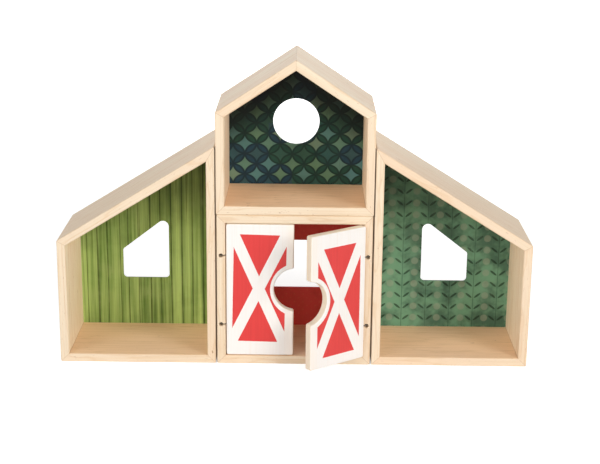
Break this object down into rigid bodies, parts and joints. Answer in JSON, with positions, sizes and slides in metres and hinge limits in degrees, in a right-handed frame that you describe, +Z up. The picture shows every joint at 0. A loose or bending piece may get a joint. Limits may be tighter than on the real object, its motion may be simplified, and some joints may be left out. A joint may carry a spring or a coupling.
{
  "type": "toy barn with opening doors",
  "caption": "Wooden toy barn: a stable with two swinging doors, a gabled loft on top and a lean-to wing at each side, all open at the front.",
  "frame": {"origin": "on the ground, under the middle of the stable", "axes": "+X to the right seen from the front, +Y to the back, so the open fronts face -Y, and +Z up"},
  "size_m": [0.4834, 0.1435, 0.3175],
  "materials": {
    "pale_wood": "sanded pale wood with eased edges",
    "painted_door": "satin white paint with red triangles",
    "stable_print": "matt dark red print with faint dots",
    "loft_print": "matt dark teal print of overlapping circles",
    "left_wing_print": "matt green print of upright planks",
    "right_wing_print": "matt green print of short leaf strokes",
    "hinge_steel": "plain steel wire"
  },
  "bodies": {
    "stable": {"stable_floor": "pale_wood", "stable_right_wall": "pale_wood", "stable_top": "pale_wood", "stable_left_wall": "pale_wood", "stable_back_panel": "stable_print", "left_lower_hinge_staple": "hinge_steel", "left_upper_hinge_staple": "hinge_steel", "right_lower_hinge_staple": "hinge_steel", "right_upper_hinge_staple": "hinge_steel"},
    "loft": {"loft_floor": "pale_wood", "loft_right_wall": "pale_wood", "loft_right_roof": "pale_wood", "loft_left_roof": "pale_wood", "loft_left_wall": "pale_wood", "loft_back_panel": "loft_print"},
    "left_wing": {"left_wing_floor": "pale_wood", "left_wing_outer_wall": "pale_wood", "left_wing_roof": "pale_wood", "left_wing_inner_wall": "pale_wood", "left_wing_back_panel": "left_wing_print"},
    "right_wing": {"right_wing_floor": "pale_wood", "right_wing_outer_wall": "pale_wood", "right_wing_roof": "pale_wood", "right_wing_inner_wall": "pale_wood", "right_wing_back_panel": "right_wing_print"},
    "left_leaf": {"left_door": "painted_door", "left_lower_hinge_eye": "hinge_steel", "left_upper_hinge_eye": "hinge_steel"},
    "right_leaf": {"right_door": "painted_door", "right_lower_hinge_eye": "hinge_steel", "right_upper_hinge_eye": "hinge_steel"}
  },
  "joints": [
    {"name": "left_door_swing", "type": "hinge", "parent": "stable", "child": "left_leaf", "pos_m": [-0.0748, -0.047, 0.08], "axis": [0, 0, -1], "range_deg": [0, 105]},
    {"name": "right_door_swing", "type": "hinge", "parent": "stable", "child": "right_leaf", "pos_m": [0.0748, -0.047, 0.08], "axis": [0, 0, 1], "range_deg": [-37, 68]},
    {"name": "loft_lift", "type": "slide", "parent": "stable", "child": "loft", "axis": [0, 0, 1], "range_m": [0, 0.06]},
    {"name": "left_wing_part", "type": "slide", "parent": "stable", "child": "left_wing", "axis": [-1, 0, 0], "range_m": [0, 0.06]},
    {"name": "right_wing_part", "type": "slide", "parent": "stable", "child": "right_wing", "axis": [1, 0, 0], "range_m": [0, 0.06]}
  ]
}
